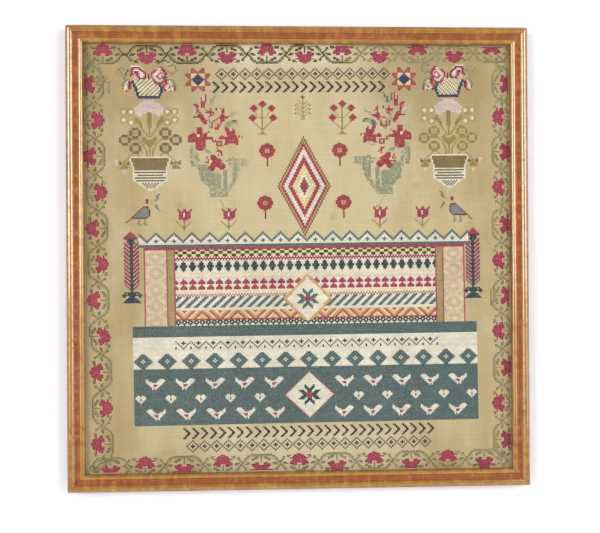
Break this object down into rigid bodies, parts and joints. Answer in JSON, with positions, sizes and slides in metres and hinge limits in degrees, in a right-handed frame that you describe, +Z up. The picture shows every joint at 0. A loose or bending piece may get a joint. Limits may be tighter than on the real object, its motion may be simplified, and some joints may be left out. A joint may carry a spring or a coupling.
{
  "type": "framed cross stitch sampler, textile sampler with picture frame",
  "caption": "Square cross stitch sampler on tan linen, stretched in a mitred gilt and red-brown picture frame with a plain backing board; hangs on a wall.",
  "frame": {"origin": "middle of the flat back of the top rail, 8 mm below the frame's top edge, where it lies against the wall", "axes": "+X to the sampler's right as seen from the front, +Y into the wall, +Z up; the front faces -Y"},
  "size_m": [0.6, 0.0235, 0.6],
  "materials": {
    "linen": "tan evenweave linen, a little faded and stained",
    "stitch_wool": "wool cross stitches in crimson, teal, olive, cream and brown",
    "gilt_moulding": "worn gilt beads over red-brown bole on a wooden moulding",
    "backing_wood": "plain brown board"
  },
  "bodies": {
    "root": {"sampler_cloth": "linen", "rail_top": "gilt_moulding", "rail_bottom": "gilt_moulding", "rail_left": "gilt_moulding", "rail_right": "gilt_moulding", "backing_board": "backing_wood"}
  },
  "joints": []
}
